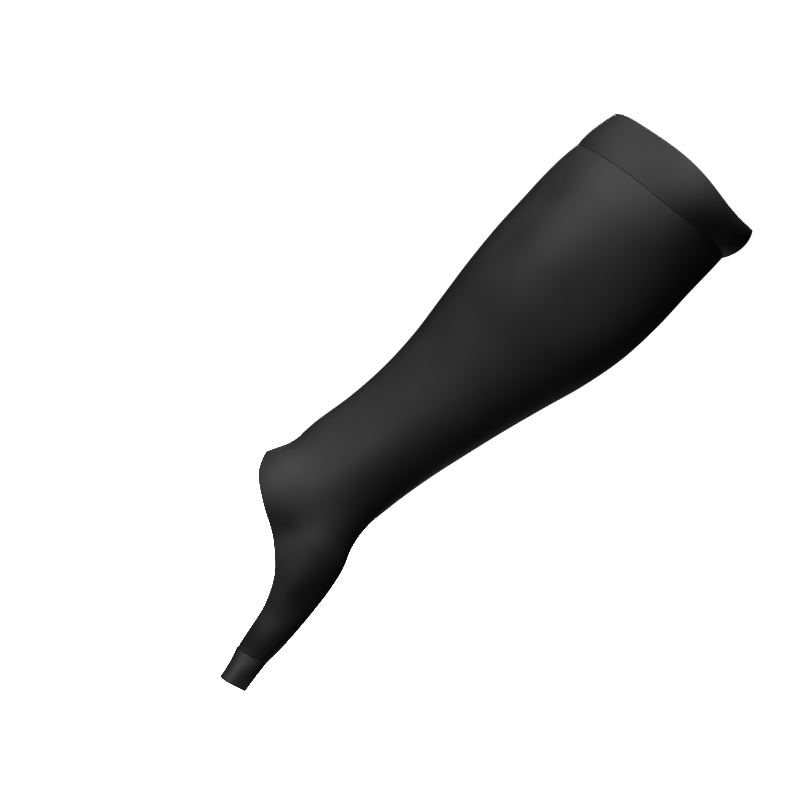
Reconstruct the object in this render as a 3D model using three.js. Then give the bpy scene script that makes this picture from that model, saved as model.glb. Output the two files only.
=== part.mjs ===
// Gaming arm sleeve, in its worn shape for a right arm: a stretch-knit tube for the forearm that
// runs on along the little-finger side of the palm and ends in a short tube for that finger.
// Millimetres. The origin is the middle of the top rim, +Z runs up the forearm, -Y is the palm
// side and -X the thumb side. "Down" is the distance from the rim towards the hand.
import * as THREE from "three";
import { LoftGeometry } from "three/addons/geometries/LoftGeometry.js";

// Cloth
const KNIT_WALL = 1.0;
const CUFF_WALL = 2.0;
const SEAM_GAP = 0.3;

// Lengths down the sleeve
const CUFF_SEAM = 27;
const FAN_START = 215;
const FINGER_SEAM = 366;
const FINGER_END = 384.2;

// How far the cuff stands out between its edges: all round, at both sides, and to the
// little-finger side
const CUFF_PUFF = 0.3;
const CUFF_SWELL = 2.1;
const CUFF_LEAN = 1.3;
const CUFF_FULLNESS = 0.7;

// How far the seam pulls the cloth in, over what length below it, and how suddenly above it
const SEAM_PINCH = 0.4;
const SEAM_PINCH_LENGTH = 5;
const CUFF_PINCH_POWER = 3;

// Dents in front, where the loose cuff sags: in the top rim, and in the seam below it, which takes
// the cloth near it along
const RIM_DENT = { across: 44, wide: 36, depth: 8.5 };
const SEAM_DENT = { across: 9, wide: 21, depth: 2.1 };
const SEAM_DENT_LENGTH = 25;

// Mesh steps
const COLUMNS = 56;
const CUFF_ROWS = 8;
const FOREARM_ROWS = 14;
const FAN_ROWS = 18;
const FINGER_ROWS = 5;

// Cross sections of the sleeve. Each is a rounded box, boxy 2 being an ellipse. Slant is the angle
// in degrees by which its little-finger side is lifted towards the elbow, and dip how much lower
// its palm side hangs.
const SECTION_COLUMNS = ["down", "across", "deep", "halfWide", "halfDeep", "slant", "dip", "boxy"];
const sectionAt = smoothTable(SECTION_COLUMNS, [
  [0, -0.1, -2.8, 50.7, 42.8, 7.8, 1, 2.05],
  [27, -0.6, -3.5, 52.4, 43.5, 9.6, 1.9, 2.05],
  [50, 0.3, -4.7, 52.7, 44.3, 6.5, 1, 2.05],
  [75, 2.5, -5.1, 52.7, 43.9, 4.5, 0, 2.05],
  [100, 3.8, -5.6, 51.5, 43, 2.5, 0, 2.05],
  [125, 3.9, -6.6, 47.9, 41.4, 1, 0, 2.05],
  [150, 3.4, -6, 42.7, 37.6, 0, 0, 2.05],
  [175, 3.2, -4.9, 37.7, 33.3, 0, 0, 2.05],
  [200, 2.2, -3.8, 34.2, 29.2, 0, 0, 2.05],
  [225, 0.1, -2.4, 32.3, 25.4, 0, 0, 2.05],
  [250, -2.4, -2.2, 32.2, 23.4, 0, 0, 2.05],
  [268, -3.1, -3, 32.4, 23, 0, 0, 2.1],
  [283, -4.3, -3.8, 36.7, 23.8, 0, 0, 2.15],
  [295, -2.6, -4.2, 40.7, 24.2, 0, 0, 2.2],
  [305, -0.4, -4, 41.5, 23.2, 0, 0, 2.2],
  [315, 5.7, -3.6, 37.6, 21.4, 0, 0, 2.2],
  [325, 15, -3.2, 30, 19.4, 0, 0, 2.2],
  [335, 25.6, -3.5, 20.7, 17.9, 4, 0, 2.2],
  [345, 32, -3.7, 15.6, 16.2, 10, 0, 2.15],
  [355, 36.3, -4, 12.4, 14.2, 15, -0.2, 2.1],
  [FINGER_SEAM, 39.5, -4.5, 9.8, 10.3, 20, -0.5, 2.1],
]);

// Edge of the hand opening, the same on the palm and on the back. Turn counts the degrees round
// the sleeve from the thumb side, and the line of cloth at that turn ends at this down and across.
const EDGE_END_TURN = 120;
const edgeAt = smoothTable(["turn", "down", "across"], [
  [-34, 293.2, -33.8],
  [0, 282.6, -41],
  [34, 293.2, -33.8],
  [57, 301.8, -19.2],
  [75, 311.6, -0.9],
  [88, 323.6, 13.2],
  [100, 338.4, 22.1],
  [110, 349.1, 25.7],
  [EDGE_END_TURN, FINGER_SEAM, 30.6],
]);

// Finger tube, from its seam to its open end
const fingerAt = smoothTable(SECTION_COLUMNS, [
  [FINGER_SEAM, 39.5, -4.5, 9.8, 10.3, 20, -0.5, 2.1],
  [375, 42, -7.8, 8.7, 9, 18, -0.7, 2],
  [FINGER_END, 44.1, -12.5, 8.3, 8, 16, -0.9, 2],
]);

// Swells and hollows in the cloth. Each is a soft oval bump on one side of the sleeve, so long and
// so wide to the thumb side and to the little-finger side, turned by some degrees from straight down.
const PALM = -1;
const BACK = 1;
const SWELL_COLUMNS = [
  "name", "side", "down", "across", "long", "thumbward", "fingerward", "turn", "height",
];
const SWELLS = [
  ["elbow swell", PALM, 14, 18, 36, 30, 30, 0, 9.5],
  ["elbow pit", PALM, 10, -34, 26, 18, 18, 0, -4.0],
  ["forearm belly", PALM, 96, -25, 42, 24, 30, 0, 9.0],
  ["thumb-side groove", PALM, 75, -42, 45, 7, 7, 8, -3.5],
  ["wrist tendons", PALM, 248, -1, 45, 16, 25, 0, 5.0],
  ["thumb swell", PALM, 298, -31, 32, 18, 24, 0, 8.5],
  ["palm hollow", PALM, 307, 0, 16, 11, 6, -22, -2.4],
  ["heel swell", PALM, 302, 17, 28, 13, 14, -15, 3.0],
  ["side of the palm", PALM, 316, 27, 18, 12, 12, 0, 4.5],
  ["finger pad", PALM, 349, 34, 8, 8, 8, 0, 1.2],
  ["finger ridge", PALM, 378, 37, 10, 8, 8, 0, 2.5],
  ["finger flank", PALM, 378, 56, 11, 11, 9, 0, -6.5],
  ["wrist bump", BACK, 245, 17, 12, 10, 10, 0, 2.5],
].map((row) => Object.fromEntries(SWELL_COLUMNS.map((column, i) => [column, row[i]])));

// A table with named columns becomes a smooth function of its first column.
function smoothTable(columns, rows) {
  const names = columns.slice(1);
  const places = Float64Array.from(rows, (row) => row[0]);
  const values = Float64Array.from(rows.flatMap((row) => row.slice(1)));
  const curve = new THREE.CubicInterpolant(places, values, names.length);
  return (place) => {
    const found = curve.evaluate(place);
    const named = { [columns[0]]: place };
    names.forEach((name, i) => (named[name] = found[i]));
    return named;
  };
}

// One point on a section: angle 0 is the thumb side, a quarter turn on is the back.
function sectionPoint(section, angle, grow) {
  const round = (value) => Math.sign(value) * Math.abs(value) ** (2 / section.boxy);
  const side = -(section.halfWide + grow) * round(Math.cos(angle));
  const depth = (section.halfDeep + grow) * round(Math.sin(angle));
  const slant = THREE.MathUtils.degToRad(section.slant);
  return new THREE.Vector3(
    section.across + side * Math.cos(slant),
    section.deep + depth,
    -section.down + side * Math.sin(slant) + section.dip * round(Math.sin(angle)),
  );
}

// Each swell or hollow moves the cloth on one side only.
function swell(point, section) {
  const share = (point.y - section.deep) / section.halfDeep;
  for (const bump of SWELLS) {
    const turn = THREE.MathUtils.degToRad(bump.turn);
    const x = point.x - bump.across;
    const down = -point.z - bump.down;
    const sideways = x * Math.cos(turn) - down * Math.sin(turn);
    const lengthways = x * Math.sin(turn) + down * Math.cos(turn);
    const wide = sideways < 0 ? bump.thumbward : bump.fingerward;
    const away = (sideways / wide) ** 2 + (lengthways / bump.long) ** 2;
    point.y += bump.side * bump.height * Math.max(0, bump.side * share) * Math.exp(-away);
  }
  return point;
}

// A dent lowers the cloth on the palm side, in full where near is 1.
function sag(point, angle, dent, near) {
  const palmward = Math.max(0, -Math.sin(angle));
  const away = ((point.x - dent.across) / dent.wide) ** 2;
  point.z -= dent.depth * near * palmward * Math.exp(-away);
  return point;
}

// The turn whose line of cloth ends at this depth down the sleeve, found by halving.
function edgeTurn(down) {
  let low = 0;
  let high = EDGE_END_TURN;
  for (let step = 0; step < 24; step += 1) {
    const middle = (low + high) / 2;
    if (edgeAt(middle).down < down) low = middle;
    else high = middle;
  }
  return low;
}

// Lines of cloth keep their place round the forearm; past the start of the opening those that
// are left spread evenly between its edge and the little-finger side.
function clothAngle(section, turn) {
  if (section.down <= edgeAt(0).down) return turn;
  const ended = edgeTurn(section.down);
  const slant = THREE.MathUtils.degToRad(section.slant);
  const reach = (section.across - edgeAt(ended).across) / Math.cos(slant);
  const share = THREE.MathUtils.clamp(reach / section.halfWide, -1, 1);
  const cosine = Math.sign(share) * Math.abs(share) ** (section.boxy / 2);
  const edge = THREE.MathUtils.radToDeg(Math.acos(cosine));
  return edge + ((180 - edge) * (turn - ended)) / (180 - ended);
}

function clothPoint(down, turn) {
  const section = sectionAt(down);
  const halfAngle = THREE.MathUtils.degToRad(clothAngle(section, Math.min(turn, 360 - turn)));
  const angle = turn <= 180 ? halfAngle : -halfAngle;
  const below = down - CUFF_SEAM;
  const pinch = SEAM_PINCH * Math.exp(-below / SEAM_PINCH_LENGTH);
  const point = sectionPoint(section, angle, -pinch);
  sag(point, angle, SEAM_DENT, Math.exp(-((below / SEAM_DENT_LENGTH) ** 2)));
  return swell(point, section);
}

// Rows of points, each row once round the piece.
function makeRows(count, columns, pointAt) {
  const turns = Array.from({ length: columns }, (_, i) => (360 * i) / columns);
  return Array.from({ length: count + 1 }, (_, row) => turns.map((turn) => pointAt(row / count, turn)));
}

// A loft whose four-sided cells are each split along the shorter diagonal.
function smoothLoft(rows) {
  const loft = new LoftGeometry(rows);
  const corners = loft.getIndex().array;
  const position = loft.getAttribute("position");
  const point = (i) => new THREE.Vector3().fromBufferAttribute(position, i);
  for (let cell = 0; cell < corners.length; cell += 6) {
    const [a, b, d, , c] = corners.slice(cell, cell + 6);
    const other = point(a).distanceTo(point(c));
    if (other < point(b).distanceTo(point(d))) corners.set([a, b, c, a, c, d], cell);
  }
  return loft;
}

// A sheet of cloth: the skin through the rows, its inner face one wall in, and a rim at each end.
function clothSheet(rows, wall) {
  const last = rows.length - 1;
  const innerPoint = (point, i, j) => {
    const row = rows[i];
    const along = rows[Math.min(i + 1, last)][j].clone().sub(rows[Math.max(i - 1, 0)][j]);
    const round = row[(j + 1) % row.length].clone().sub(row.at(j - 1));
    return point.clone().addScaledVector(along.cross(round).normalize(), wall);
  };
  const inner = rows.map((row, i) => row.map((point, j) => innerPoint(point, i, j)));
  return smoothLoft([...rows, ...inner.reverse(), rows[0]]);
}

function cuffRows() {
  const length = CUFF_SEAM - SEAM_GAP / 2;
  return makeRows(CUFF_ROWS, COLUMNS, (share, turn) => {
    const section = sectionAt(share * length);
    const bulge = Math.sin(Math.PI * share) ** CUFF_FULLNESS;
    const pinch = SEAM_PINCH * share ** CUFF_PINCH_POWER;
    section.across += CUFF_LEAN * bulge;
    section.halfWide += CUFF_SWELL * bulge;
    const angle = THREE.MathUtils.degToRad(turn);
    const point = sectionPoint(section, angle, CUFF_PUFF * bulge - pinch);
    sag(point, angle, RIM_DENT, (1 - share) ** 2);
    sag(point, angle, SEAM_DENT, share ** 2);
    return swell(point, section);
  });
}

function sleeveRows() {
  const start = CUFF_SEAM + SEAM_GAP / 2;
  const end = FINGER_SEAM - SEAM_GAP / 2;
  const forearm = makeRows(FOREARM_ROWS, COLUMNS, (share, turn) => {
    return clothPoint(start + share * (FAN_START - start), turn);
  });
  const fan = makeRows(FAN_ROWS, COLUMNS, (share, turn) => {
    const half = Math.min(turn, 360 - turn, EDGE_END_TURN);
    const reach = Math.min(edgeAt(half).down, end);
    return clothPoint(FAN_START + share * (reach - FAN_START), turn);
  });
  return [...forearm, ...fan.slice(1)];
}

function fingerRows() {
  const start = FINGER_SEAM + SEAM_GAP / 2;
  return makeRows(FINGER_ROWS, COLUMNS / 2, (share, turn) => {
    const section = fingerAt(start + share * (FINGER_END - start));
    return swell(sectionPoint(section, THREE.MathUtils.degToRad(turn), 0), section);
  });
}

function knit(name, color) {
  return new THREE.MeshStandardMaterial({ name, color, roughness: 0.9, metalness: 0 });
}

function piece(name, geometry, material) {
  const mesh = new THREE.Mesh(geometry, material);
  mesh.name = name;
  return mesh;
}

const sleeve = new THREE.Group();
sleeve.name = "gaming_arm_sleeve";
sleeve.add(piece("forearm_sleeve", clothSheet(sleeveRows(), KNIT_WALL), knit("sleeve_knit", 0x282828)));
sleeve.add(piece("top_cuff", clothSheet(cuffRows(), CUFF_WALL), knit("cuff_knit", 0x272727)));
sleeve.add(piece("finger_tube", clothSheet(fingerRows(), KNIT_WALL), knit("finger_knit", 0x282828)));

export default sleeve;
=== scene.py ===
# %% [markdown]
# # Gaming arm sleeve
# The sleeve is a tube of thin black stretch knit. It hugs the forearm from just below the elbow,
# runs on along the little-finger side of the palm and ends in a short tube for that finger.
# The imported solids hold its true size and place, so they are loaded first and their box is kept.
# At the end the finished cloth's own box is measured and printed.

# %% Load the imported solids
import math
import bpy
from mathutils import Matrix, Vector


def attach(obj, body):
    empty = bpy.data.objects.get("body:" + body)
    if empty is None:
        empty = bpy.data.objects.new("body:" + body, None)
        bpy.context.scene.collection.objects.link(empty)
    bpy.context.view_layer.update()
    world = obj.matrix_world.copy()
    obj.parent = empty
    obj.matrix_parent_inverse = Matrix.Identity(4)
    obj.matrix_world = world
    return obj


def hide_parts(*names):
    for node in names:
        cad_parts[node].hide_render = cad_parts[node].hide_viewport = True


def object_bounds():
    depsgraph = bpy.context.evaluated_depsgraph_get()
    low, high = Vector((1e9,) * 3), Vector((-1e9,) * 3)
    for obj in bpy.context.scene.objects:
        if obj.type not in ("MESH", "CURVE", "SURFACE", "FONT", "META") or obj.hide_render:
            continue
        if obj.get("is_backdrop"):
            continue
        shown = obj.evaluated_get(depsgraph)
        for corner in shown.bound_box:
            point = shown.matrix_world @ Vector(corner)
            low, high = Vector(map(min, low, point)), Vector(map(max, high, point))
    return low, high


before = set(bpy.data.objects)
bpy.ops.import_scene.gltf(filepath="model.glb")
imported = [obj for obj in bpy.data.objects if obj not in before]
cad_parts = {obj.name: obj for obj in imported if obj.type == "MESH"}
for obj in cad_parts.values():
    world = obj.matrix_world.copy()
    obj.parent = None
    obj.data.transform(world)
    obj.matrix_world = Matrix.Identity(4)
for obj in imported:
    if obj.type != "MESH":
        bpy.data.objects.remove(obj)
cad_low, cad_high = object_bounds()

from types import SimpleNamespace

import bpy
import numpy as np
from mathutils import Matrix, Vector

print("solids in the frame:", sorted(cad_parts))

# %% [markdown]
# ## Camera
# The sleeve is seen square on from its palm side, with the picture turned so that the arm runs
# from the lower left to the upper right. A camera could be aimed with a constraint, but a place,
# a quarter turn and a roll say the same thing in one matrix and leave nothing live behind.

# %% Camera at the photograph's angle
VIEW_CENTRE = Vector((-0.0117, 0.0, -0.2069))
VIEW_DISTANCE = 1.0
VIEW_WIDTH = 0.456
ROLL = math.radians(48)

camera_data = bpy.data.cameras.new("front_camera")
camera_data.lens = camera_data.sensor_width * VIEW_DISTANCE / VIEW_WIDTH
camera = bpy.data.objects.new("front_camera", camera_data)
camera_place = VIEW_CENTRE - Vector((0, VIEW_DISTANCE, 0))
level_camera = Matrix.Rotation(math.radians(90), 4, "X")
roll_camera = Matrix.Rotation(-ROLL, 4, "Y")
camera.matrix_world = Matrix.Translation(camera_place) @ roll_camera @ level_camera
bpy.context.scene.collection.objects.link(camera)
bpy.context.scene.camera = camera
print(f"camera lens {camera_data.lens:.1f} mm")

# %% [markdown]
# ## The shape of worn cloth
# Stretch knit has no shape of its own: it takes the shape of what it is pulled over. A cloth
# simulation would need that form, so the sleeve is lofted instead, through the same cross sections
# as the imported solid. Each section is a rounded box with a place, a size and a slant, and a smooth
# curve through the table gives every section between. Lengths are in millimetres here, and "down"
# counts from the top rim towards the hand.

# %% Smooth tables
def smooth_table(columns, rows):
    """A table with named columns becomes a smooth function of its first column."""
    table = np.array(rows, float)
    places, values = table[:, 0], table[:, 1:]
    steps = np.diff(places)
    secants = np.diff(values, axis=0) / steps[:, None]
    slopes = np.vstack([secants[:1], (secants[1:] + secants[:-1]) / 2, secants[-1:]])

    def at(place):
        place = np.clip(np.asarray(place, float), places[0], places[-1])
        i = np.clip(np.searchsorted(places, place, side="right") - 1, 0, len(steps) - 1)
        step = steps[i][..., None]
        part = ((place - places[i])[..., None]) / step
        rest = 1 - part
        found = values[i] * (1 + 2 * part) * rest**2 + slopes[i] * step * part * rest**2
        found += values[i + 1] * (1 + 2 * rest) * part**2 - slopes[i + 1] * step * rest * part**2
        named = dict(zip(columns[1:], np.moveaxis(found, -1, 0)))
        return SimpleNamespace(**{columns[0]: place}, **named)

    return at


# %% Sizes of the sleeve
MM = 0.001
KNIT_WALL = 1.0
CUFF_WALL = 2.0
CUFF_SEAM = 27.0
FAN_START = 215.0
FINGER_SEAM = 366.0
FINGER_END = 384.2

SECTION_COLUMNS = ["down", "across", "deep", "half_wide", "half_deep", "slant", "dip", "boxy"]
section_at = smooth_table(SECTION_COLUMNS, [
    [0, -0.1, -2.8, 50.7, 42.8, 7.8, 1, 2.05],
    [27, -0.6, -3.5, 52.4, 43.5, 9.6, 1.9, 2.05],
    [50, 0.3, -4.7, 52.7, 44.3, 6.5, 1, 2.05],
    [75, 2.5, -5.1, 52.7, 43.9, 4.5, 0, 2.05],
    [100, 3.8, -5.6, 51.5, 43, 2.5, 0, 2.05],
    [125, 3.9, -6.6, 47.9, 41.4, 1, 0, 2.05],
    [150, 3.4, -6, 42.7, 37.6, 0, 0, 2.05],
    [175, 3.2, -4.9, 37.7, 33.3, 0, 0, 2.05],
    [200, 2.2, -3.8, 34.2, 29.2, 0, 0, 2.05],
    [225, 0.1, -2.4, 32.3, 25.4, 0, 0, 2.05],
    [250, -2.4, -2.2, 32.2, 23.4, 0, 0, 2.05],
    [268, -3.1, -3, 32.4, 23, 0, 0, 2.1],
    [283, -4.3, -3.8, 36.7, 23.8, 0, 0, 2.15],
    [295, -2.6, -4.2, 40.7, 24.2, 0, 0, 2.2],
    [305, -0.4, -4, 41.5, 23.2, 0, 0, 2.2],
    [315, 5.7, -3.6, 37.6, 21.4, 0, 0, 2.2],
    [325, 15, -3.2, 30, 19.4, 0, 0, 2.2],
    [335, 25.6, -3.5, 20.7, 17.9, 4, 0, 2.2],
    [345, 32, -3.7, 15.6, 16.2, 10, 0, 2.15],
    [355, 36.3, -4, 12.4, 14.2, 15, -0.2, 2.1],
    [FINGER_SEAM, 39.5, -4.5, 9.8, 10.3, 20, -0.5, 2.1],
])
finger_at = smooth_table(SECTION_COLUMNS, [
    [FINGER_SEAM, 39.5, -4.5, 9.8, 10.3, 20, -0.5, 2.1],
    [375, 42, -7.8, 8.7, 9, 18, -0.7, 2],
    [FINGER_END, 44.1, -12.5, 8.3, 8, 16, -0.9, 2],
])


# %% One point on a section
def rounded(value, boxy):
    """A sine or cosine pushed outwards: a boxy of 2 leaves an oval, and more makes it squarer."""
    return np.sign(value) * np.abs(value) ** (2 / boxy)


def section_point(section, angle, grow=0.0):
    """Angle 0 is the thumb side of the sleeve, and a quarter turn on is the back of the arm."""
    side = -(section.half_wide + grow) * rounded(np.cos(angle), section.boxy)
    share = rounded(np.sin(angle), section.boxy)
    slant = np.radians(section.slant)
    x = section.across + side * np.cos(slant)
    y = section.deep + (section.half_deep + grow) * share
    z = -section.down + side * np.sin(slant) + section.dip * share
    return np.stack(np.broadcast_arrays(x, y, z), axis=-1)


# %% [markdown]
# ## The hand opening
# Past the wrist the tube is cut away for the thumb and the fingers. On a sewing table that would be
# a cutting line on the flat panel, so it is one here too: a table says how far down each line of
# cloth runs before it meets the edge. The lines that are left spread evenly over what remains,
# which keeps the mesh free of slivers along the edge. Cutting a whole tube with a boolean would
# leave ragged faces there instead.

# %% Edge of the hand opening
EDGE_END_TURN = 120
edge_at = smooth_table(["turn", "down", "across"], [
    [-34, 293.2, -33.8],
    [0, 282.6, -41],
    [34, 293.2, -33.8],
    [57, 301.8, -19.2],
    [75, 311.6, -0.9],
    [88, 323.6, 13.2],
    [100, 338.4, 22.1],
    [110, 349.1, 25.7],
    [EDGE_END_TURN, FINGER_SEAM, 30.6],
])
EDGE_SAMPLES = 2401
EDGE_TURNS = np.linspace(0, EDGE_END_TURN, EDGE_SAMPLES)
EDGE_DOWNS = edge_at(EDGE_TURNS).down


def cloth_angle(section, turn):
    """Where on its section the line of cloth lies that started at this turn round the forearm."""
    ended = np.interp(section.down, EDGE_DOWNS, EDGE_TURNS)
    reach = (section.across - edge_at(ended).across) / np.cos(np.radians(section.slant))
    share = np.clip(reach / section.half_wide, -1, 1)
    edge = np.degrees(np.arccos(np.sign(share) * np.abs(share) ** (section.boxy / 2)))
    spread = edge + (180 - edge) * (turn - ended) / (180 - ended)
    return np.where(section.down <= EDGE_DOWNS[0], turn, spread)


# %% [markdown]
# ## Swells and hollows
# Worn cloth is no even tube: it swells below the elbow, along the forearm, over the wrist and at
# both sides of the palm, and sinks between. Each swell or hollow is a soft oval bump on one side of
# the sleeve, so long and so wide to either side of its middle, that moves the sheet out or in. It
# is real shape, then, and not only shading. Sculpting could do it too, but a table can be read and
# changed.

# %% Swells and hollows
PALM, BACK = -1, 1
SWELL_COLUMNS = [
    "name", "side", "down", "across", "long", "thumbward", "fingerward", "turn", "height",
]
SWELLS = [
    ["elbow swell", PALM, 14, 18, 36, 30, 30, 0, 9.5],
    ["elbow pit", PALM, 10, -34, 26, 18, 18, 0, -4.0],
    ["forearm belly", PALM, 96, -25, 42, 24, 30, 0, 9.0],
    ["thumb-side groove", PALM, 75, -42, 45, 7, 7, 8, -3.5],
    ["wrist tendons", PALM, 248, -1, 45, 16, 25, 0, 5.0],
    ["thumb swell", PALM, 298, -31, 32, 18, 24, 0, 8.5],
    ["palm hollow", PALM, 307, 0, 16, 11, 6, -22, -2.4],
    ["heel swell", PALM, 302, 17, 28, 13, 14, -15, 3.0],
    ["side of the palm", PALM, 316, 27, 18, 12, 12, 0, 4.5],
    ["finger pad", PALM, 349, 34, 8, 8, 8, 0, 1.2],
    ["finger crease", PALM, 366, 37, 6, 9, 9, 0, -1.2],
    ["finger ridge", PALM, 378, 37, 10, 8, 8, 0, 2.5],
    ["finger flank", PALM, 378, 56, 11, 11, 9, 0, -6.5],
    ["wrist bump", BACK, 245, 17, 12, 10, 10, 0, 2.5],
]


def swell(points, section):
    """Push the cloth out or in by every bump of the table on its own side of the section."""
    share = (points[..., 1] - section.deep) / section.half_deep
    for row in SWELLS:
        bump = SimpleNamespace(**dict(zip(SWELL_COLUMNS, row)))
        turn = math.radians(bump.turn)
        x, down = points[..., 0] - bump.across, -points[..., 2] - bump.down
        sideways = x * math.cos(turn) - down * math.sin(turn)
        lengthways = x * math.sin(turn) + down * math.cos(turn)
        wide = np.where(sideways < 0, bump.thumbward, bump.fingerward)
        away = (sideways / wide) ** 2 + (lengthways / bump.long) ** 2
        points[..., 1] += bump.side * bump.height * np.maximum(0, bump.side * share) * np.exp(-away)
    return points


# %% [markdown]
# ## Sagging rim and seam
# The cuff is a little loose in front. Its rim dips towards the little-finger side, and the seam
# below it hangs lowest near the middle. Both are the same soft dent in a line of cloth, which takes
# the cloth near that line along, so one function makes them.

# %% Sagging rim and seam
RIM_DENT = SimpleNamespace(across=44, wide=36, depth=8.5)
SEAM_DENT = SimpleNamespace(across=9, wide=21, depth=2.1)
SEAM_DENT_LENGTH = 25.0


def sag(points, angle, dent, near):
    """Lower the cloth on the palm side by a dent, in full where near is 1."""
    in_front = np.maximum(0, -np.sin(angle))
    away = ((points[..., 0] - dent.across) / dent.wide) ** 2
    points[..., 2] -= dent.depth * near * in_front * np.exp(-away)
    return points


# %% [markdown]
# ## A sheet with two faces
# Real cloth has a thickness, which shows at a free edge as a thin half-round rim. Where two sheets
# are sewn together the thread presses both edges flat. A Solidify modifier would make every rim
# flat, so the builder below makes the outer face, the inner face one wall further in, and the rims
# between them, as one closed mesh. Its UV map counts metres of cloth: across from line to line, and
# along each line from the top. The knit pattern is drawn on it.

# %% Sheet builder
RIM_STEPS = 3
FREE_RIM = 0.5
SEWN_RIM = 0.15
RIM_HOLD = 0.3


def rim_rows(outer_edge, inner_edge, beyond, reach):
    """The rim between the two faces of a sheet, which stands out so far to the side of beyond."""
    middle = (outer_edge + inner_edge) / 2
    beyond = beyond / np.linalg.norm(beyond, axis=-1, keepdims=True) * np.reshape(reach, (-1, 1))
    angles = np.linspace(0, math.pi, RIM_STEPS + 2)[1:-1]
    half_wall = outer_edge - middle
    return np.array([middle + half_wall * np.cos(a) + beyond * np.sin(a) for a in angles])


def held_row(edge, beside):
    """A row close beside an edge, which keeps the rim's shading from spreading over the cloth."""
    step = beside - edge
    return edge + step * (RIM_HOLD / np.linalg.norm(step, axis=-1, keepdims=True))


def cloth_sheet(name, skin, wall, cut_width, head_rim, foot_rim):
    """A closed sheet from rows of points on its outer face, top row first, in millimetres.

    The rims at its head and foot stand out by these shares of the wall.
    """
    head_hold, foot_hold = held_row(skin[0], skin[1]), held_row(skin[-1], skin[-2])
    skin = np.concatenate([skin[:1], [head_hold], skin[1:-1], [foot_hold], skin[-1:]])
    along = np.gradient(skin, axis=0)
    inward = np.cross(along, np.roll(skin, -1, axis=1) - np.roll(skin, 1, axis=1))
    inner = skin + wall * inward / np.linalg.norm(inward, axis=-1, keepdims=True)
    foot = rim_rows(skin[-1], inner[-1], along[-1], foot_rim * wall)
    head = rim_rows(inner[0], skin[0], -along[0], head_rim * wall)
    points = np.concatenate([skin, foot, inner[::-1], head])
    rows, columns = points.shape[:2]

    steps = np.linalg.norm(np.diff(skin, axis=0), axis=-1)
    length = np.vstack([np.zeros((1, columns)), np.cumsum(steps, axis=0)])
    flat_foot = np.repeat(length[-1:], RIM_STEPS, axis=0)
    lengths = np.concatenate([length, flat_foot, length[::-1], np.zeros_like(flat_foot)])

    row, column = np.divmod(np.arange(rows * columns), columns)
    next_row, next_column = (row + 1) % rows, (column + 1) % columns
    corner_rows = np.stack([row, row, next_row, next_row], axis=1)
    corner_columns = np.stack([column, next_column, next_column, column], axis=1)
    across = np.stack([column, column + 1, column + 1, column], axis=1) * (cut_width / columns)
    uv = np.stack([across, lengths[corner_rows, corner_columns]], axis=-1) * MM

    mesh = bpy.data.meshes.new(name)
    faces = corner_rows * columns + corner_columns
    mesh.from_pydata((points.reshape(-1, 3) * MM).tolist(), [], faces.tolist())
    mesh.uv_layers.new(name="cloth").data.foreach_set("uv", uv.astype(np.float32).ravel())
    mesh.shade_smooth()
    piece = bpy.data.objects.new(name, mesh)
    bpy.context.scene.collection.objects.link(piece)
    both_faces = sum(face.area for face in mesh.polygons) / MM**2
    print(f"{name}: {len(mesh.polygons)} faces, {both_faces / 2:.0f} square mm of worn cloth")
    return piece


def turns_round(columns):
    return np.arange(columns) * 360 / columns


def cloth_grid(first, last, rows, columns):
    """How far down, and at what turn round the sleeve, the points of an even grid lie."""
    return np.meshgrid(np.linspace(first, last, rows + 1), turns_round(columns), indexing="ij")


# %% [markdown]
# ## Forearm sleeve
# The main piece is one panel: the forearm tube, and the strip beside the palm that it narrows to.
# Its rows run straight round the forearm, and from the wrist on each line of cloth is stepped
# evenly to its own end, on the edge of the opening or at the finger seam. Just below the cuff the
# seam pulls the cloth in a little.

# %% Forearm sleeve
SLEEVE_COLUMNS = 160
FOREARM_ROWS = 96
FAN_ROWS = 84
SLEEVE_CUT_WIDTH = 258.0
SLEEVE_CUT_LENGTH = 342.0
SLEEVE_CUT_AREA = 60000.0
SEAM_PINCH = 0.4
SEAM_PINCH_LENGTH = 5.0


def cloth_point(down, turn):
    """Points of the panel, so far down their lines of cloth, at these turns round the forearm."""
    section = section_at(down)
    half_angle = np.radians(cloth_angle(section, np.minimum(turn, 360 - turn)))
    angle = np.where(turn <= 180, half_angle, -half_angle)
    below = down - CUFF_SEAM
    pinch = SEAM_PINCH * np.exp(-below / SEAM_PINCH_LENGTH)
    points = section_point(section, angle, -pinch)
    points = sag(points, angle, SEAM_DENT, np.exp(-((below / SEAM_DENT_LENGTH) ** 2)))
    return swell(points, section)


sleeve_turn = turns_round(SLEEVE_COLUMNS)
sleeve_half_turn = np.minimum(sleeve_turn, 360 - sleeve_turn)
sleeve_foot_rim = np.where(sleeve_half_turn < EDGE_END_TURN, FREE_RIM, SEWN_RIM)


def sleeve_skin():
    start = CUFF_SEAM + SEWN_RIM * KNIT_WALL
    edges = edge_at(np.minimum(sleeve_half_turn, EDGE_END_TURN)).down
    ends = edges - sleeve_foot_rim * KNIT_WALL
    forearm, _ = cloth_grid(start, FAN_START, FOREARM_ROWS, SLEEVE_COLUMNS)
    fan_share, _ = cloth_grid(0, 1, FAN_ROWS, SLEEVE_COLUMNS)
    fan = FAN_START + fan_share[1:] * (ends - FAN_START)
    down = np.concatenate([forearm, fan])
    return cloth_point(down, np.broadcast_to(sleeve_turn, down.shape))


forearm_sleeve = cloth_sheet(
    "forearm_sleeve_knit", sleeve_skin(), KNIT_WALL, SLEEVE_CUT_WIDTH, SEWN_RIM, sleeve_foot_rim
)

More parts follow.
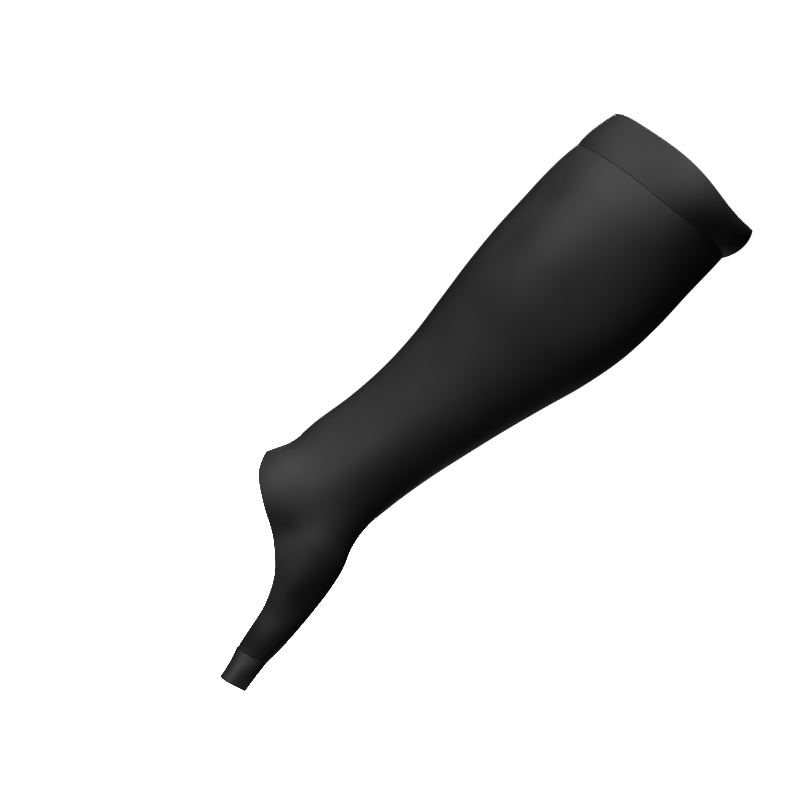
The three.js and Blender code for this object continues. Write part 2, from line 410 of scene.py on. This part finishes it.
# %% [markdown]
# ## Top cuff
# The cuff is a doubled band: the same knit folded over and sewn on, so it is twice as thick and its
# top rim is a soft fold. It stands out between rim and seam, mostly at its two sides, and meets the
# sleeve flush at the seam.

# %% Top cuff
CUFF_COLUMNS = 160
CUFF_ROWS = 24
CUFF_CUT_WIDTH = 258.0
CUFF_PUFF = 0.3
CUFF_SWELL = 2.1
CUFF_LEAN = 1.3
CUFF_FULLNESS = 0.7
CUFF_FLAT = 1.2
CUFF_PINCH_POWER = 3


def cuff_skin():
    first, last = FREE_RIM * CUFF_WALL, CUFF_SEAM - SEWN_RIM * CUFF_WALL
    down, turn = cloth_grid(first, last, CUFF_ROWS, CUFF_COLUMNS)
    share = down / last
    bulge = np.sin(math.pi * np.minimum(down / (last - CUFF_FLAT), 1)) ** CUFF_FULLNESS
    pinch = SEAM_PINCH * share**CUFF_PINCH_POWER
    section = section_at(down)
    section.across = section.across + CUFF_LEAN * bulge
    section.half_wide = section.half_wide + CUFF_SWELL * bulge
    angle = np.radians(turn)
    points = section_point(section, angle, CUFF_PUFF * bulge - pinch)
    points = sag(points, angle, RIM_DENT, (1 - share) ** 2)
    points = sag(points, angle, SEAM_DENT, share**2)
    return swell(points, section)


top_cuff = cloth_sheet(
    "top_cuff_knit", cuff_skin(), CUFF_WALL, CUFF_CUT_WIDTH, FREE_RIM, SEWN_RIM
)

# %% [markdown]
# ## Finger tube
# A short tube of the same knit holds the sleeve on the little finger. It is sewn to the end of the
# panel and curls a little towards the palm.

# %% Finger tube
FINGER_COLUMNS = 72
FINGER_ROWS = 24
FINGER_CUT_WIDTH = 50.0


def finger_skin():
    start = FINGER_SEAM + SEWN_RIM * KNIT_WALL
    end = FINGER_END - FREE_RIM * KNIT_WALL
    down, turn = cloth_grid(start, end, FINGER_ROWS, FINGER_COLUMNS)
    section = finger_at(down)
    return swell(section_point(section, np.radians(turn)), section)


finger_tube = cloth_sheet(
    "finger_tube_knit", finger_skin(), KNIT_WALL, FINGER_CUT_WIDTH, SEWN_RIM, FREE_RIM
)

# %% [markdown]
# ## Node helpers and colours
# Every tree below is built from one small function: it adds a node, sets its properties, and fills
# its inputs with values or links. Two more call it for what comes up often, a sum and a blend of
# two colours. Colours are written as sRGB hex, as a colour picker shows them, and one function
# turns them to the linear values that Blender counts in.

# %% Node helpers and colours
MIX_FIRST, MIX_SECOND, MIX_RESULT = 6, 7, 2


def add_node(tree, kind, inputs=None, **settings):
    node = tree.nodes.new(kind)
    for name, value in settings.items():
        setattr(node, name, value)
    for socket, value in (inputs or {}).items():
        if isinstance(value, bpy.types.NodeSocket):
            tree.links.new(value, node.inputs[socket])
        else:
            node.inputs[socket].default_value = value
    return node


def calculate(tree, operation, *values):
    """The result of a Math node that is fed with numbers or sockets."""
    return add_node(tree, "ShaderNodeMath", dict(enumerate(values)), operation=operation).outputs[0]


def linear_colour(hex_code):
    srgb = np.array([int(hex_code[i:i + 2], 16) for i in (1, 3, 5)]) / 255
    linear = np.where(srgb <= 0.04045, srgb / 12.92, ((srgb + 0.055) / 1.055) ** 2.4)
    return (*linear.tolist(), 1.0)


def blended_colour(tree, factor, first, second):
    """A colour between two, from a Mix node.

    Its sockets go by number, because their names repeat for each type of data.
    """
    blend = add_node(
        tree, "ShaderNodeMix",
        {"Factor": factor, MIX_FIRST: linear_colour(first), MIX_SECOND: linear_colour(second)},
        data_type="RGBA",
    )
    return blend.outputs[MIX_RESULT]


# %% [markdown]
# ## Black stretch jersey
# The cloth is a fine nylon and elastane jersey, dyed black. Its face shows columns of tiny loops,
# called wales, which run along the arm. From a step away they melt into a soft, matt black that
# goes grey where the light meets it square on, with hardly any gloss. Real wales are about 0.45 mm
# wide. They are drawn a third wider here, because finer ones would only flicker at this size, and a
# little finer on the cuff, which is a denser band. The height of the loops drives the bump, and it
# also darkens the colour in the grooves between them, which is painted shade. Large soft patches
# change the tone and the roughness a little, as worn cloth does.

# %% Black stretch jersey
WALE = 0.6
CUFF_WALE = 0.5
COURSE = 0.5
WALE_MIDDLE = 0.5
LOOP_LEAN = 0.8
LOOP_RIPPLE = 0.2
LOOP_DEPTH = 0.10
LOOP_BUMP = 0.08
FADE_PATCH = 18.0
FADE_DETAIL = 3.0
FADE_RANGE = (0.9, 1.1)
KNIT_ROUGHNESS = (0.70, 0.82)
KNIT_GLOSS = 0.1
LOOP_FACE = "#282828"
# colour of the grooves between the loops, darker than the loop tops: painted shade
GROOVE_PAINTED_SHADE = "#222222"


def jersey(name, wale):
    material = bpy.data.materials.new(name)
    material.use_nodes = True
    tree = material.node_tree
    tree.nodes.clear()

    cloth = add_node(tree, "ShaderNodeUVMap", uv_map="cloth")
    place = add_node(tree, "ShaderNodeSeparateXYZ", {0: cloth.outputs["UV"]})
    wales = calculate(tree, "DIVIDE", place.outputs["X"], wale * MM)
    courses = calculate(tree, "DIVIDE", place.outputs["Y"], COURSE * MM)
    in_wale = calculate(tree, "FRACT", wales)
    leg = calculate(tree, "ABSOLUTE", calculate(tree, "SUBTRACT", in_wale, WALE_MIDDLE))
    lean = calculate(tree, "MULTIPLY_ADD", leg, LOOP_LEAN, courses)
    loop = calculate(tree, "SINE", calculate(tree, "MULTIPLY", lean, math.tau))
    loop_swell = calculate(tree, "MULTIPLY_ADD", loop, LOOP_RIPPLE, 1 - LOOP_RIPPLE)
    wale_round = calculate(tree, "SINE", calculate(tree, "MULTIPLY", in_wale, math.pi))
    height = calculate(tree, "MULTIPLY", wale_round, loop_swell)

    space = add_node(tree, "ShaderNodeTexCoord")
    patches = add_node(
        tree, "ShaderNodeTexNoise",
        {
            "Vector": space.outputs["Object"], "Scale": 1 / (FADE_PATCH * MM),
            "Detail": FADE_DETAIL,
        },
    )
    # painted shade: the colour darkens from the loop tops into the grooves, by the loops' height
    painted_groove_shade = blended_colour(tree, height, GROOVE_PAINTED_SHADE, LOOP_FACE)
    fade = add_node(
        tree, "ShaderNodeMapRange",
        {"Value": patches.outputs["Fac"], "To Min": FADE_RANGE[0], "To Max": FADE_RANGE[1]},
    )
    # the soft patches lighten and darken the colour at random, over the painted shade in the grooves
    worn = add_node(tree, "ShaderNodeHueSaturation", {"Color": painted_groove_shade, "Value": fade.outputs[0]})
    roughness = add_node(
        tree, "ShaderNodeMapRange",
        {
            "Value": patches.outputs["Fac"],
            "To Min": KNIT_ROUGHNESS[0], "To Max": KNIT_ROUGHNESS[1],
        },
    )
    bump = add_node(
        tree, "ShaderNodeBump",
        {"Height": height, "Strength": LOOP_BUMP, "Distance": LOOP_DEPTH * MM},
    )
    surface = add_node(
        tree, "ShaderNodeBsdfPrincipled",
        {
            "Base Color": worn.outputs[0], "Roughness": roughness.outputs[0],
            "Normal": bump.outputs[0], "Specular IOR Level": KNIT_GLOSS,
        },
    )
    add_node(tree, "ShaderNodeOutputMaterial", {"Surface": surface.outputs[0]})
    return material


sleeve_jersey = jersey("black_stretch_jersey", WALE)
cuff_jersey = jersey("black_cuff_jersey", CUFF_WALE)
for piece, knit in (
    (forearm_sleeve, sleeve_jersey), (finger_tube, sleeve_jersey), (top_cuff, cuff_jersey),
):
    piece.data.materials.append(knit)
print("knit finishes:", sleeve_jersey.name, cuff_jersey.name)

# %% [markdown]
# ## Seam thread
# The cuff and the finger tube are sewn on with a row of small stitches of black polyester thread,
# a little darker than the cloth, that sink into the seam until only a fine dark line shows.
# A stitch is the same short loop of thread again and again along a line, which is what Geometry
# Nodes are for: the tree steps along the seam, sets a stitch on each step and turns it to follow
# the line. Modelling each stitch by hand would give the same picture for far more work.

# %% Thread finish
THREAD_DARK = "#1a1a1a"
THREAD_LIGHT = "#242424"
THREAD_TWIST = 0.4
THREAD_ROUGHNESS = 0.8
THREAD_GLOSS = 0.1


def sewing_thread():
    material = bpy.data.materials.new("black_polyester_thread")
    material.use_nodes = True
    tree = material.node_tree
    surface = tree.nodes["Principled BSDF"]
    space = add_node(tree, "ShaderNodeTexCoord")
    twist = add_node(
        tree, "ShaderNodeTexNoise",
        {"Vector": space.outputs["Object"], "Scale": 1 / (THREAD_TWIST * MM)},
    )
    tone = blended_colour(tree, twist.outputs["Fac"], THREAD_DARK, THREAD_LIGHT)
    tree.links.new(tone, surface.inputs["Base Color"])
    surface.inputs["Roughness"].default_value = THREAD_ROUGHNESS
    surface.inputs["Specular IOR Level"].default_value = THREAD_GLOSS
    return material


thread_finish = sewing_thread()
print("thread finish:", thread_finish.name)

# %% Stitch tree
STITCH_SEGMENTS = 8
STITCH_RINGS = 6
UNIT_RADIUS = 0.5


def stitch_tree():
    """Each stitch is a ball one unit across, drawn out to the thread's width and its own length."""
    tree = bpy.data.node_groups.new("stitches_along_a_seam", "GeometryNodeTree")
    sizes = ("Spacing", "Stitch length", "Thread width")
    tree.interface.new_socket("Seam line", in_out="INPUT", socket_type="NodeSocketGeometry")
    for name in sizes:
        tree.interface.new_socket(name, in_out="INPUT", socket_type="NodeSocketFloat")
    tree.interface.new_socket("Thread", in_out="INPUT", socket_type="NodeSocketMaterial")
    tree.interface.new_socket("Stitches", in_out="OUTPUT", socket_type="NodeSocketGeometry")
    given = add_node(tree, "NodeGroupInput").outputs
    line = add_node(tree, "GeometryNodeMeshToCurve", {"Mesh": given["Seam line"]})
    steps = add_node(
        tree, "GeometryNodeResampleCurve",
        {"Curve": line.outputs[0], "Length": given["Spacing"]}, mode="LENGTH",
    )
    tangent = add_node(tree, "GeometryNodeInputTangent")
    turn = add_node(
        tree, "FunctionNodeAlignRotationToVector", {"Vector": tangent.outputs[0]}, axis="Z"
    )
    size = add_node(
        tree, "ShaderNodeCombineXYZ",
        {"X": given["Thread width"], "Y": given["Thread width"], "Z": given["Stitch length"]},
    )
    loop = add_node(
        tree, "GeometryNodeMeshUVSphere",
        {"Segments": STITCH_SEGMENTS, "Rings": STITCH_RINGS, "Radius": UNIT_RADIUS},
    )
    stitches = add_node(
        tree, "GeometryNodeInstanceOnPoints",
        {
            "Points": steps.outputs[0], "Instance": loop.outputs["Mesh"],
            "Rotation": turn.outputs[0], "Scale": size.outputs[0],
        },
    )
    real = add_node(tree, "GeometryNodeRealizeInstances", {"Geometry": stitches.outputs[0]})
    dyed = add_node(
        tree, "GeometryNodeSetMaterial", {"Geometry": real.outputs[0], "Material": given["Thread"]}
    )
    add_node(tree, "NodeGroupOutput", {"Stitches": dyed.outputs[0]})
    return tree


seam_stitches = stitch_tree()
print("stitch tree:", len(seam_stitches.nodes), "nodes")

# %% Seams
STITCH_SPACING = 2.4
STITCH_LENGTH = 2.8
THREAD_WIDTH = 0.6
STITCH_SINK = 0.3
SEAM_POINTS = 240


def sew(name, line):
    """A row of stitches along a closed line of points, in millimetres."""
    count = len(line)
    seam = bpy.data.meshes.new(name + "_line")
    edges = [(i, (i + 1) % count) for i in range(count)]
    seam.from_pydata((line * MM).tolist(), edges, [])
    guide = bpy.data.objects.new(name + "_line", seam)
    bpy.context.scene.collection.objects.link(guide)
    stitching = guide.modifiers.new("stitches", "NODES")
    stitching.node_group = seam_stitches
    values = {
        "Spacing": STITCH_SPACING * MM, "Stitch length": STITCH_LENGTH * MM,
        "Thread width": THREAD_WIDTH * MM, "Thread": thread_finish,
    }
    for socket in seam_stitches.interface.items_tree:
        if socket.in_out == "INPUT" and socket.name in values:
            stitching[socket.identifier] = values[socket.name]
    evaluated = guide.evaluated_get(bpy.context.evaluated_depsgraph_get())
    mesh = bpy.data.meshes.new_from_object(evaluated)
    mesh.shade_smooth()
    bpy.data.objects.remove(guide)
    thread = bpy.data.objects.new(name, mesh)
    bpy.context.scene.collection.objects.link(thread)
    print(f"{name}: {len(mesh.polygons)} faces of thread")
    return thread


def seam_line(down, sink, sagging):
    """Points once round the sleeve, sunk into the cloth, with the seam's dent in full at 1."""
    angle = np.radians(turns_round(SEAM_POINTS))
    section = section_at(np.full(SEAM_POINTS, down))
    points = section_point(section, angle, -sink)
    return swell(sag(points, angle, SEAM_DENT, sagging), section)


cuff_thread = sew("cuff_seam_thread", seam_line(CUFF_SEAM, SEAM_PINCH + STITCH_SINK, sagging=1))
finger_thread = sew("finger_seam_thread", seam_line(FINGER_SEAM, STITCH_SINK, sagging=0))

# %% [markdown]
# ## Floor and light
# The floor is a plain white light table a few centimetres below the sleeve, and everything behind
# is as white. Both are seen by the camera only and send no light back to the cloth. The light comes
# from five soft boxes. Two large ones stand high on the thumb side, so the cloth is grey there and
# runs into black on the other side. A small one below the camera brings out the palm, and two
# behind draw the far edges. A single sun would leave hard shadows in the hollows. The view's gamma
# is turned down until a shown grey follows the amount of light, which keeps black cloth black.
# Lengths are in metres from here on, as Blender counts them.

# %% Light table
FLOOR_DROP = 0.04
FLOOR_SIZE = 6.0
FLOOR_WHITE = "#f4f4f4"
WHITE = (1, 1, 1, 1)
WHITE_LIGHT = 1.1

half_floor = FLOOR_SIZE / 2
floor_level = cad_low.z - FLOOR_DROP
floor_mesh = bpy.data.meshes.new("light_table")
corner_signs = ((-1, -1), (1, -1), (1, 1), (-1, 1))
floor_corners = [(x * half_floor, y * half_floor, floor_level) for x, y in corner_signs]
floor_mesh.from_pydata(floor_corners, [], [(0, 1, 2, 3)])
floor = bpy.data.objects.new("light_table", floor_mesh)
bpy.context.scene.collection.objects.link(floor)
floor_finish = bpy.data.materials.new("white_acrylic_light_table")
floor_finish.use_nodes = True
floor_surface = floor_finish.node_tree.nodes["Principled BSDF"]
floor_surface.inputs["Base Color"].default_value = linear_colour(FLOOR_WHITE)
floor_surface.inputs["Emission Color"].default_value = WHITE
floor_surface.inputs["Emission Strength"].default_value = WHITE_LIGHT
floor_mesh.materials.append(floor_finish)
floor.visible_diffuse = False
floor.visible_glossy = False
floor.visible_shadow = False
floor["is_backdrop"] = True
print(f"light table at a height of {floor_level / MM:.0f} mm")

# %% White surroundings
VIEW_GAMMA = 0.45

world = bpy.data.worlds.new("white_surroundings")
world.use_nodes = True
world_tree = world.node_tree
world_tree.nodes.clear()
seen = add_node(world_tree, "ShaderNodeLightPath")
shown = calculate(world_tree, "MULTIPLY", seen.outputs["Is Camera Ray"], WHITE_LIGHT)
backdrop = add_node(world_tree, "ShaderNodeBackground", {"Color": WHITE, "Strength": shown})
add_node(world_tree, "ShaderNodeOutputWorld", {"Surface": backdrop.outputs[0]})
bpy.context.scene.world = world
bpy.context.scene.view_settings.view_transform = "Standard"
bpy.context.scene.view_settings.gamma = VIEW_GAMMA

# %% Soft boxes
def soft_box(name, direction, distance, size, power):
    """A square light that shines on the middle of the sleeve from the given direction."""
    data = bpy.data.lights.new(name, "AREA")
    data.size = size
    data.energy = power
    light = bpy.data.objects.new(name, data)
    towards = Vector(direction).normalized()
    light.location = VIEW_CENTRE + towards * distance
    light.rotation_euler = towards.to_track_quat("Z", "Y").to_euler()
    light.visible_camera = False
    bpy.context.scene.collection.objects.link(light)


LIGHT_COLUMNS = ["name", "direction", "distance", "size", "power"]
LIGHTS = [
    ["key_box", (-0.58, -0.64, 0.5), 3.0, 1.2, 410],
    ["elbow_box", (-0.35, -0.35, 0.87), 3.0, 1.2, 600],
    ["hand_box", (-0.05, -0.91, -0.4), 1.3, 0.5, 64],
    ["low_back_box", (0.43, 0.75, -0.5), 3.0, 1.2, 250],
    ["high_back_box", (-0.1, 0.85, 0.5), 3.0, 1.2, 400],
]
for row in LIGHTS:
    soft_box(**dict(zip(LIGHT_COLUMNS, row)))
print("soft boxes:", [row[0] for row in LIGHTS])

# %% [markdown]
# ## Pieces on the body of the part
# Each piece rides on the one body of the part and takes the place of its imported solid, which is
# hidden. The table beside them lists the finish each one uses and the size the cloth was cut to:
# stretch knit is cut smaller than the arm, and the worn sheet is that cut pulled out.

# %% Pieces, sheets and sizes
FINGER_CUT_LENGTH = FINGER_END - FINGER_SEAM
PIECES = [
    (
        forearm_sleeve, "forearm_sleeve", "sleeve_knit",
        SLEEVE_CUT_WIDTH, SLEEVE_CUT_LENGTH, SLEEVE_CUT_AREA,
    ),
    (top_cuff, "top_cuff", "cuff_knit", CUFF_CUT_WIDTH, CUFF_SEAM, None),
    (finger_tube, "finger_tube", "sleeve_knit", FINGER_CUT_WIDTH, FINGER_CUT_LENGTH, None),
]
for piece, node, slot, cut_width, cut_length, cut_area in PIECES:
    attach(piece, "root")
    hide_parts(node)
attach(cuff_thread, "root")
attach(finger_thread, "root")

visual_low, visual_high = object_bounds()
for corner, place in (("low", visual_low), ("high", visual_high)):
    print(f"{corner} corner of the visual box in mm:", [round(x / MM, 1) for x in place])
